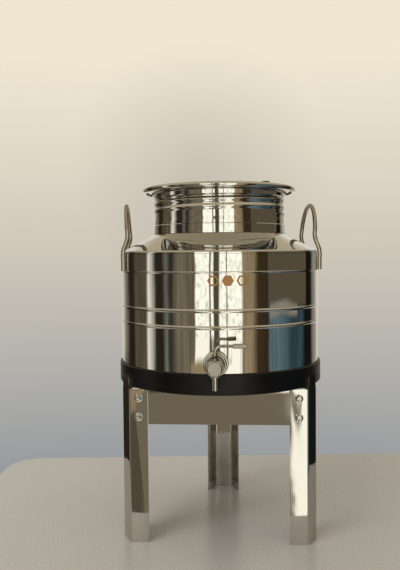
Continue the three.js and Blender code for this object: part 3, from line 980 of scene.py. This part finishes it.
# ---- Tap ----
class HONEYDRUM_OT_tap(bpy.types.Operator):
    """Make the tap's body, cap and nozzle, and finish what lies inside"""

    bl_idname = "honeydrum.tap"
    bl_label = "Tap"

    def execute(self, context):
        sizes, colours = context.scene.tap_sizes, context.scene.drum_colours
        cast = satin_cast_stainless(colours)
        inside = AXIS.y - high("tap_body").y
        ring_out = (high("base_ring").x - low("base_ring").x) / 2
        flange = ring_out + GAP
        collar = flange + 3 * MM
        back, face = NOZZLE_OUT - 10 * MM, NOZZLE_OUT + 10 * MM
        shell = turned(
            rounded(
                [
                    (0, inside),
                    (sizes.shank, inside, 0.6 * MM),
                    (sizes.shank, flange),
                    (sizes.flange, flange, 0.5 * MM),
                    (sizes.flange, collar, 1.4 * MM),
                    (sizes.collar, collar, 0.4 * MM),
                    (sizes.collar, collar + 4.5 * MM, 1.6 * MM),
                    (sizes.neck, collar + 4.5 * MM, 1 * MM),
                    (sizes.neck, back, 1 * MM),
                    (sizes.housing, back, 1.2 * MM),
                    (sizes.housing, face, 0.7 * MM),
                    (0, face),
                ],
                5,
            ),
            TURNED,
        )
        moved(shell, forward())
        boss = moved(rod(5.5 * MM, 0, 11.4 * MM), at_nozzle())
        crown = moved(rod(4.9 * MM, 10 * MM, 12 * MM), at_nozzle())
        spout = moved(rod(6.7 * MM, -12.5 * MM, 0), at_nozzle())
        body = worked(shell, [boss, crown, spout], "UNION")
        tools = [
            moved(rod(sizes.bore, inside - 1 * MM, NOZZLE_OUT), forward()),
            moved(rod(7.3 * MM, NOZZLE_OUT - 8.1 * MM, face + 1 * MM), forward()),
            moved(rod(2.9 * MM, 0, 13 * MM), at_nozzle()),
            moved(rod(4.8 * MM, -13 * MM, -8 * MM), at_nozzle()),
            moved(rod(3.25 * MM, -11 * MM, 0), at_nozzle()),
        ]
        piece("tap_shell", worked(body, tools), cast, "drum", "satin_steel", "tap_body")

        start, seat = AXIS.y - high("tap_end_cap").y, face + GAP
        end = AXIS.y - low("tap_end_cap").y
        cap = turned(
            rounded(
                [
                    (0, start),
                    (7 * MM, start),
                    (7 * MM, seat),
                    (10 * MM, seat, 0.4 * MM),
                    (10 * MM, end - 1.6 * MM, 1.6 * MM),
                    (8.4 * MM, end, 1 * MM),
                    (0, end),
                ],
                5,
            ),
            TURNED,
        )
        bright = turned_stainless(colours)
        piece("tap_cap", moved(cap, forward()), bright, "drum", "satin_steel", "tap_end_cap")

        tip, root = low("tap_nozzle").z - TAP_HEIGHT, high("tap_nozzle").z - TAP_HEIGHT
        nozzle = turned(
            rounded(
                [
                    (3.25 * MM, tip, 0.4 * MM),
                    (4.5 * MM, tip, 0.5 * MM),
                    (4.5 * MM, root),
                    (3.25 * MM, root),
                ]
            ),
            TURNED,
        )
        piece("tap_spout", moved(nozzle, at_nozzle()), cast, "drum", "satin_steel", "tap_nozzle")

        washer_in = AXIS.y - high("tap_outer_gasket").y
        washer_out = AXIS.y - low("tap_outer_gasket").y
        rim = (high("tap_outer_gasket").x - low("tap_outer_gasket").x) / 2
        washer = turned(
            rounded(
                [
                    (TAP_HOLE, washer_in),
                    (rim, washer_in, 0.6 * MM),
                    (rim, washer_out, 0.6 * MM),
                    (TAP_HOLE, washer_out),
                ]
            ),
            TURNED,
        )
        rubber = black_nitrile_rubber(colours)
        moved(washer, forward())
        piece("tap_washer", washer, rubber, "drum", "black_rubber", "tap_outer_gasket")
        carried("tap_inner_gasket", rubber)
        carried("tap_backnut", cast)
        for node in ("ball_seat_inlet", "ball_seat_cap"):
            carried(node, turned_ptfe(colours))
        return {"FINISHED"}


class HONEYDRUM_OT_lever(bpy.types.Operator):
    """Make the lever with its sleeve, stem and gland nut"""

    bl_idname = "honeydrum.lever"
    bl_label = "Lever"

    def execute(self, context):
        sizes, colours = context.scene.tap_sizes, context.scene.drum_colours
        cast = satin_cast_stainless(colours)
        foot = low("tap_lever").z - TAP_HEIGHT
        axis = 28 * MM
        bend = sizes.lever_bend
        end = high("tap_lever").x
        points = [(0, 0, foot), (0, 0, foot + 1.5 * MM), (0, 0, axis - bend)]
        for k in (1, 2, 3):
            turn = pi / 2 * k / 4
            points.append((bend * (1 - cos(turn)), 0, axis - bend + bend * sin(turn)))
        points += [(bend, 0, axis), (bend + 6 * MM, 0, axis), (end, 0, axis)]
        rod_part = swept(points, sizes.lever_rod)
        hub = turned(
            rounded(
                [
                    (0, foot),
                    (3.4 * MM, foot, 0.4 * MM),
                    (3.4 * MM, foot + 2.5 * MM, 0.8 * MM),
                    (0, foot + 2.5 * MM),
                ]
            ),
            TURNED,
        )
        lever = moved(worked(rod_part, [hub], "UNION"), at_nozzle())
        piece("lever_rod", lever, cast, "lever", "satin_steel", "tap_lever")

        start, tip = low("lever_sleeve").x, high("lever_sleeve").x
        clear, thick = sizes.lever_rod + GAP, sizes.sleeve
        sleeve = turned(
            rounded(
                [
                    (0, tip - 1.2 * MM),
                    (clear, tip - 1.2 * MM),
                    (clear, start),
                    (thick, start, 0.5 * MM),
                    (thick, tip, 0.9 * MM),
                    (0, tip),
                ]
            ),
            TURNED,
        )
        lay = Matrix.Translation((0, 0, axis)) @ Matrix.Rotation(pi / 2, 4, "Y")
        moved(sleeve, lay, at_nozzle())
        piece("lever_grip", sleeve, turned_stainless(colours), "lever", "satin_steel", "lever_sleeve")

        base, top = low("stem_gland").z - TAP_HEIGHT, high("stem_gland").z - TAP_HEIGHT
        nut = hexagon(5 * MM, base, top, 0.5 * MM, 2.9 * MM)
        piece("gland_nut", moved(nut, at_nozzle()), cast, "drum", "satin_steel", "stem_gland")
        carried("valve_stem", cast)
        carried("valve_ball", mirror_polished_stainless(colours))
        return {"FINISHED"}


def hexagon(corner, base, top, chamfer, hole):
    """A nut along Z: a hexagon with its corners turned off, and a round hole."""
    blank = rod(corner, base, top, 6)
    flat = corner * 3**0.5 / 2
    envelope = turned(
        [
            (0, base - MM),
            (flat - chamfer * 0.3, base - MM),
            (flat, base),
            (corner + 0.05 * MM, base + chamfer),
            (corner + 0.05 * MM, top - chamfer),
            (flat, top),
            (flat - chamfer * 0.3, top + MM),
            (0, top + MM),
        ],
        TURNED,
    )
    nut = worked(blank, [envelope], "INTERSECT")
    return worked(nut, [rod(hole, base - 2 * MM, top + 2 * MM, 24)])


# ---- Stand ----
LEG_TURNS = {"right": -30, "rear": 90, "left": 210}
APRON_TURNS = {"front": -90, "right": 30, "left": 150}
FOLD = radians(60)
DROPS = (13 * MM, 40.5 * MM)  # screws below the leg's upper edge


def stand_places(stand):
    """The leg's outer face, a flange's outer face, and the leg's corner along a flange."""
    ring_out = (high("base_ring").x - low("base_ring").x) / 2
    leg_out = ring_out + GAP + stand.sheet
    flange_out = leg_out * cos(FOLD) + stand.leg_face / 2 * sin(FOLD)
    corner = leg_out * sin(FOLD) - stand.leg_face / 2 * cos(FOLD)
    return leg_out, flange_out, corner


def screw_places(stand):
    _, flange_out, corner = stand_places(stand)
    along = corner - stand.leg_flange / 2
    leg_top = high("screw_front_1").z + DROPS[0] - 6 * MM
    return [
        (flange_out, side * along, leg_top - drop) for side in (-1, 1) for drop in DROPS
    ]


def screw_holes(stand, turn):
    found = []
    for out, along, height in screw_places(stand):
        hole = moved(
            rod(SCREW_HOLE, out - 8 * MM, out + 4 * MM, 24),
            Matrix.Rotation(pi / 2, 4, "Y"),
            Matrix.Translation((0, along, height)),
            about_z(turn),
        )
        found.append(hole)
    return found


class HONEYDRUM_OT_legs(bpy.types.Operator):
    """Make the three folded legs with their tabs"""

    bl_idname = "honeydrum.legs"
    bl_label = "Legs"

    def execute(self, context):
        stand = context.scene.stand_sizes
        steel = bright_stainless_sheet(context.scene.drum_colours)
        leg_out, _, _ = stand_places(stand)
        out = leg_out - stand.sheet / 2
        half = stand.leg_face / 2 - stand.sheet / 2 * tan(FOLD / 2)
        reach = stand.leg_flange
        end = (out - reach * sin(FOLD), half + reach * cos(FOLD))
        line = rounded(
            [
                (end[0], -end[1]),
                (out, -half, stand.leg_bend),
                (out, half, stand.leg_bend),
                end,
            ],
            8,
        )
        leg_top = screw_places(stand)[0][2] + DROPS[0]
        tab_top = high("leg_rear").z
        wide = stand.leg_face / 2 - 3 * MM
        corner = stand.tab_corner
        for name, turn in LEG_TURNS.items():
            channel = pulled(sheet_outline(line, stand.sheet), leg_top)
            tab = pulled(
                rounded(
                    [
                        (-wide, leg_top - 10 * MM),
                        (wide, leg_top - 10 * MM),
                        (wide, tab_top, corner),
                        (-wide, tab_top, corner),
                    ],
                    10,
                ),
                stand.sheet,
            )
            upright = Matrix(((0, 0, 1, 0), (1, 0, 0, 0), (0, 1, 0, 0), (0, 0, 0, 1)))
            moved(tab, upright, Matrix.Translation((leg_out - stand.sheet, 0, 0)))
            leg = worked(channel, [tab], "UNION")
            holes = screw_holes(stand, -60) + screw_holes(stand, 60)
            leg = moved(worked(leg, holes), about_z(turn))
            piece(f"folded_leg_{name}", leg, steel, "stand", "mirror_steel", f"leg_{name}")
        return {"FINISHED"}


class HONEYDRUM_OT_aprons(bpy.types.Operator):
    """Make the three aprons between the legs"""

    bl_idname = "honeydrum.aprons"
    bl_label = "Aprons"

    def execute(self, context):
        stand = context.scene.stand_sizes
        steel = bright_stainless_sheet(context.scene.drum_colours)
        _, flange_out, corner = stand_places(stand)
        out = flange_out - stand.sheet - GAP
        middle = out - stand.sheet / 2
        foot, top = low("apron_front").z, high("apron_front").z
        half = corner - 4.5 * MM
        line = rounded(
            [
                (-middle, foot),
                (-middle, top - stand.sheet / 2, stand.apron_bend),
                (stand.ledge - out, top - stand.sheet / 2),
            ],
            8,
        )
        lay = Matrix(((-1, 0, 0, 0), (0, 0, 1, -half), (0, 1, 0, 0), (0, 0, 0, 1)))
        for name, turn in APRON_TURNS.items():
            plate = moved(pulled(sheet_outline(line, stand.sheet), 2 * half), lay)
            bmesh.ops.recalc_face_normals(plate, faces=plate.faces)
            apron = moved(worked(plate, screw_holes(stand, 0)), about_z(turn))
            piece(f"apron_plate_{name}", apron, steel, "stand", "mirror_steel", f"apron_{name}")
        return {"FINISHED"}


class HONEYDRUM_OT_fasteners(bpy.types.Operator):
    """Make the twelve flanged screws and their nuts"""

    bl_idname = "honeydrum.fasteners"
    bl_label = "Screws and Nuts"

    def execute(self, context):
        stand = context.scene.stand_sizes
        zinc = zinc_plated_steel(context.scene.drum_colours)
        lay = Matrix.Rotation(pi / 2, 4, "Y")
        for side, turn in APRON_TURNS.items():
            for k, (out, along, height) in enumerate(screw_places(stand)):
                place = about_z(turn) @ Matrix.Translation((out + GAP, along, height)) @ lay
                screw = moved(self.screw(), place)
                name = f"{side}_{k + 1}"
                piece(f"bolt_{name}", screw, zinc, "stand", "bolt_steel", f"screw_{name}")
                back = about_z(turn) @ Matrix.Translation(
                    (out - 2 * stand.sheet - 2 * GAP, along, height)
                ) @ lay
                nut = moved(hexagon(5.77 * MM, -5 * MM, 0, 0.6 * MM, SCREW_HOLE), back)
                piece(f"hex_nut_{name}", nut, zinc, "stand", "bolt_steel", f"nut_{name}")
        return {"FINISHED"}

    @staticmethod
    def screw():
        """A flanged button head with a hexagon socket, its collar on z = 0."""
        blank = turned(
            rounded(
                [
                    (0, -12 * MM),
                    (3 * MM, -12 * MM, 0.6 * MM),
                    (3 * MM, 0),
                    (6 * MM, 0, 0.3 * MM),
                    (6 * MM, 0.9 * MM, 0.4 * MM),
                    (4.9 * MM, 1.2 * MM, 0.3 * MM),
                    (4.3 * MM, 2.5 * MM, 1 * MM),
                    (3.1 * MM, 3.2 * MM, 0.8 * MM),
                    (0, 3.2 * MM),
                ],
                4,
            ),
            32,
        )
        socket = moved(rod(2.3 * MM, 1.2 * MM, 4 * MM, 6), about_z(11))
        return worked(blank, [socket])


# ---- Stage ----
# The room that shows in the polish, in plain colours.
PLASTER = "B8B4AA"
SHADED_PLASTER = "847E70"
DOORWAY = "241F18"
CUPBOARD = "50483A"
LAMP_LIGHT = "E0DCD2"
BOOKCASE = "28261F"
SHELF = "66655E"
PANELLING = "6A6152"
DAYLIGHT = "F8F6E8"
BAR = "4A463A"
TAN_WALL = "88785E"
DARK_WOOD = "342A1C"
CURTAIN = "52666E"
CURTAIN_FOLD = "30424A"
CORNER = "141410"
# What stands where: degrees to the right of the tap's direction, and a colour. The window
# is in front, between -25 and 27, with its bars.
ROOM_LEFT = (
    (-180, PLASTER),
    (-155, PLASTER),
    (-140, SHADED_PLASTER),
    (-125, DOORWAY),
    (-115, DOORWAY),
    (-110, CUPBOARD),
    (-90, CUPBOARD),
    (-85, LAMP_LIGHT),
    (-75, BOOKCASE),
    (-65, BOOKCASE),
    (-60, SHELF),
    (-55, BOOKCASE),
    (-45, PANELLING),
    (-26, PANELLING),
    (-25, DAYLIGHT),
    (-9, DAYLIGHT),
    (-8.5, BAR),
    (-7, BAR),
    (-6, PLASTER),
    (-4, BAR),
    (0, BAR),
)
ROOM_RIGHT = (
    (0, BAR),
    (2, BAR),
    (3, DAYLIGHT),
    (8.5, DAYLIGHT),
    (9, BAR),
    (10, BAR),
    (11, DAYLIGHT),
    (27, DAYLIGHT),
    (28, TAN_WALL),
    (40, TAN_WALL),
    (45, DARK_WOOD),
    (57, DARK_WOOD),
    (60, CURTAIN),
    (75, CURTAIN),
    (90, CURTAIN_FOLD),
    (110, CURTAIN_FOLD),
    (115, CORNER),
    (130, CORNER),
    (140, SHADED_PLASTER),
    (160, PLASTER),
    (180, PLASTER),
)
# The window's panes: from and to in degrees round, from and to in degrees below level.
PANES = (
    (-25, -9, -12, 7),
    (-7, -4, -12, 7),
    (3, 9, -12, 7),
    (10, 27, -12, 7),
)
# Other things, in the same degrees, with the softness of their edges and a colour.
THINGS = (
    (58, 118, -22, 4, 0.3, CUPBOARD),
    (60, 100, 4, 5, 0.3, SHADED_PLASTER),
    (-15, 15, 9, 40, 1, PANELLING),
    (-25, -10, 7, 11, 0.5, DAYLIGHT),
    (15, 25, 7, 11, 0.5, DAYLIGHT),
    (-30, -10, 9, 13, 0.3, TAN_WALL),
    (-30, -10, 13, 24, 0.3, BAR),
    (5, 25, 9, 24, 0.3, DAYLIGHT),
    (-150, -115, 9, 30, 1.5, DOORWAY),
    (110, 135, 9, 30, 1.5, CORNER),
)


def ramp(tree, share, stops, start):
    """A colour ramp over half a turn, its stops in degrees."""
    node = add(tree, "ShaderNodeValToRGB", {"Fac": share})
    elements = node.color_ramp.elements
    elements.remove(elements[-1])
    for k, (degrees, text) in enumerate(stops):
        at = (degrees - start) / 180
        stop = elements[k] if k < 1 else elements.new(at)
        stop.position = at
        stop.color = (*srgb(text), 1)
    return node.outputs[0]


def patch(tree, at, left, right, top, bottom, soft):
    """Where a direction, as a turn and a height in radians, falls inside a box in degrees."""
    middle = Vector((radians(left + right) / 2, -radians(top + bottom) / 2, 0))
    half = Vector((radians(right - left) / 2, radians(bottom - top) / 2, 1))
    away = at
    for operation, other in (("SUBTRACT", middle), ("ABSOLUTE", None), ("SUBTRACT", half)):
        links = {0: away} if other is None else {0: away, 1: other}
        away = add(tree, "ShaderNodeVectorMath", links, operation=operation).outputs[0]
    sides = add(tree, "ShaderNodeSeparateXYZ", {0: away}).outputs
    links = {0: sides[0], 1: sides[1]}
    past = add(tree, "ShaderNodeMath", links, operation="MAXIMUM").outputs[0]
    return ranged(tree, past, -radians(soft), radians(soft), 1, 0)


class HONEYDRUM_OT_stage(bpy.types.Operator):
    """Make the table, the room, the lights and the camera"""

    bl_idname = "honeydrum.stage"
    bl_label = "Stage"

    def execute(self, context):
        scene = context.scene
        self.table(scene)
        self.room(scene)
        self.lamps(scene)
        self.camera(scene)
        scene.view_settings.view_transform = "Standard"
        return {"FINISHED"}

    @staticmethod
    def table(scene):
        corners = [
            (-0.43, -0.2, 0.06),
            (0.43, -0.2, 0.06),
            (0.43, 0.374, 0.06),
            (-0.43, 0.3, 0.06),
        ]
        top = pulled(rounded(corners, 12), 0.028)
        moved(top, Matrix.Translation((0, AXIS.y, -0.028)))
        mesh = bpy.data.meshes.new("table")
        top.to_mesh(mesh)
        top.free()
        table = bpy.data.objects.new("table", mesh)
        scene.collection.objects.link(table)
        table.data.materials.append(laminate_table(scene.drum_colours))

    @staticmethod
    def room(scene):
        """The camera sees a pale wall, blue-grey low by the table and cream higher up, with a painted
        shadow round the lid; the steel sees a room with a window in front.
        """
        world = bpy.data.worlds.new("room")
        scene.world = world
        world.use_nodes = True
        tree = world.node_tree
        tree.nodes.clear()
        way = add(tree, "ShaderNodeTexCoord").outputs["Generated"]
        parts = add(tree, "ShaderNodeSeparateXYZ", {0: way}).outputs
        back = add(tree, "ShaderNodeMath", {0: parts["Y"], 1: -1}, operation="MULTIPLY")
        links = {0: parts["X"], 1: back.outputs[0]}
        turn = add(tree, "ShaderNodeMath", links, operation="ARCTAN2").outputs[0]
        right = add(tree, "ShaderNodeMath", {0: turn, 1: 0.0}, operation="GREATER_THAN")
        halves = [
            ramp(tree, ranged(tree, turn, start, start + pi, 0, 1), stops, degrees)
            for start, stops, degrees in ((-pi, ROOM_LEFT, -180), (0, ROOM_RIGHT, 0))
        ]
        shown = blend(tree, right.outputs[0], *halves)
        height = parts["Z"]
        level = add(tree, "ShaderNodeMath", {0: height}, operation="ARCSINE").outputs[0]
        at = add(tree, "ShaderNodeCombineXYZ", {0: turn, 1: level}).outputs[0]
        streaks = noise(tree, stretched(tree, way, (1, 1, 0.18)), 22, 4.0, 0.65)
        dulled = add(tree, "ShaderNodeHueSaturation", {"Color": shown})
        tree.links.new(ranged(tree, streaks, 0.32, 0.66, 0.6, 1.25), dulled.inputs["Value"])
        leaves = noise(tree, stretched(tree, way, (1, 1, 9)), 17, 5.0, 0.7)
        outside = blend(tree, ranged(tree, leaves, 0.4, 0.5, 1, 0), srgb("FFFFF6"), srgb("D3D6B0"))
        outside = blend(tree, ranged(tree, leaves, 0.33, 0.4, 1, 0), outside, srgb("7F8474"))
        shown = dulled.outputs[0]
        for pane in PANES:
            shown = blend(tree, patch(tree, at, *pane, 0.25), shown, outside)
        for *edges, soft, text in THINGS:
            shown = blend(tree, patch(tree, at, *edges, soft), shown, srgb(text))
        overhead = ranged(tree, height, 0.34, 0.5, 0, 1)
        upper = blend(tree, overhead, shown, srgb("A0957F"))
        wall = add(tree, "ShaderNodeValToRGB", {"Fac": ranged(tree, height, -0.32, 0.28, 0, 1)})
        for stop, text in zip(wall.color_ramp.elements, ("92979C", "F0E6D2")):
            stop.color = (*srgb(text), 1)
        middle = wall.color_ramp.elements.new(0.5)
        middle.color = (*srgb("C9C3B7"), 1)
        # Painted shadow: the camera's wall is softly darkened towards 8E8A84 round the lid and just
        # above it. It stands in for the drum's shadow on the wall.
        links = {0: way, 1: (-0.06, 0.985, 0.125)}
        away = add(tree, "ShaderNodeVectorMath", links, operation="DISTANCE").outputs["Value"]
        shadow = ranged(tree, away, 0.02, 0.19, 0.3, 0)
        plain = blend(tree, shadow, wall.outputs[0], srgb("8E8A84"))
        path = add(tree, "ShaderNodeLightPath").outputs
        shown = blend(tree, path["Is Camera Ray"], upper, plain)
        strength = ranged(tree, path["Is Glossy Ray"], 0, 1, 1, 1.7)
        glow = add(tree, "ShaderNodeBackground", {"Color": shown, "Strength": strength})
        out = add(tree, "ShaderNodeOutputWorld")
        tree.links.new(glow.outputs[0], out.inputs["Surface"])

    @staticmethod
    def lamps(scene):
        """Soft light from the window's side and a wide fill above, not seen in the steel."""
        for name, place, size, power in (
            ("window_light", (-1.5, -1.8, 1.7), 1.5, 34),
            ("ceiling_light", (-0.1, -0.2, 2.4), 2.4, 19),
        ):
            light = bpy.data.lights.new(name, "AREA")
            light.size = size
            light.energy = power
            light.color = (1.0, 0.99, 0.97)
            lamp = bpy.data.objects.new(name, light)
            scene.collection.objects.link(lamp)
            lamp.location = place
            aim = Vector((0, 0, 0.2)) - lamp.location
            lamp.rotation_euler = aim.to_track_quat("-Z", "Y").to_euler()
            lamp.visible_glossy = False

    @staticmethod
    def camera(scene):
        data = bpy.data.cameras.new("camera")
        data.lens = 42
        data.sensor_width = 36
        data.clip_start = 0.05
        camera = bpy.data.objects.new("camera", data)
        scene.collection.objects.link(camera)
        turn = radians(2)
        away, eye = 1.03, 0.411  # from the axis, and above the table, in metres
        yaw, dip, roll = 0.0292, 0.041, -0.0085
        place = AXIS + Vector((away * sin(turn), -away * cos(turn), eye))
        camera.matrix_world = (
            Matrix.Translation(place)
            @ Matrix.Rotation(turn + yaw, 4, "Z")
            @ Matrix.Rotation(pi / 2 - dip, 4, "X")
            @ Matrix.Rotation(roll, 4, "Z")
        )
        scene.camera = camera


PIECES = (
    HONEYDRUM_OT_stage,
    HONEYDRUM_OT_wall,
    HONEYDRUM_OT_shoulder,
    HONEYDRUM_OT_neck,
    HONEYDRUM_OT_lid,
    HONEYDRUM_OT_handles,
    HONEYDRUM_OT_ring,
    HONEYDRUM_OT_badge,
    HONEYDRUM_OT_tap,
    HONEYDRUM_OT_lever,
    HONEYDRUM_OT_legs,
    HONEYDRUM_OT_aprons,
    HONEYDRUM_OT_fasteners,
)


class HONEYDRUM_PT_panel(bpy.types.Panel):
    """The drum's pieces, sizes and colours"""

    bl_idname = "HONEYDRUM_PT_panel"
    bl_label = "Honey Drum"
    bl_space_type = "VIEW_3D"
    bl_region_type = "UI"
    bl_category = "Honey Drum"

    def draw(self, context):
        for made in PIECES:
            self.layout.operator(made.bl_idname)
        for group in GROUPS:
            settings = getattr(context.scene, group)
            column = self.layout.column(align=True)
            for name in settings.bl_rna.properties.keys():
                if name not in ("rna_type", "name"):
                    column.prop(settings, name)


GROUPS = {
    "drum_sizes": DrumSizes,
    "tap_sizes": TapSizes,
    "stand_sizes": StandSizes,
    "drum_colours": Colours,
}
CLASSES = (*GROUPS.values(), *PIECES, HONEYDRUM_PT_panel)


def register():
    for made in CLASSES:
        bpy.utils.register_class(made)
    for name, group in GROUPS.items():
        setattr(bpy.types.Scene, name, PointerProperty(type=group))


def unregister():
    for name in GROUPS:
        delattr(bpy.types.Scene, name)
    for made in reversed(CLASSES):
        bpy.utils.unregister_class(made)


def main():
    register()
    for made in PIECES:
        group, name = made.bl_idname.split(".")
        getattr(getattr(bpy.ops, group), name)()


if __name__ == "__main__":
    main()
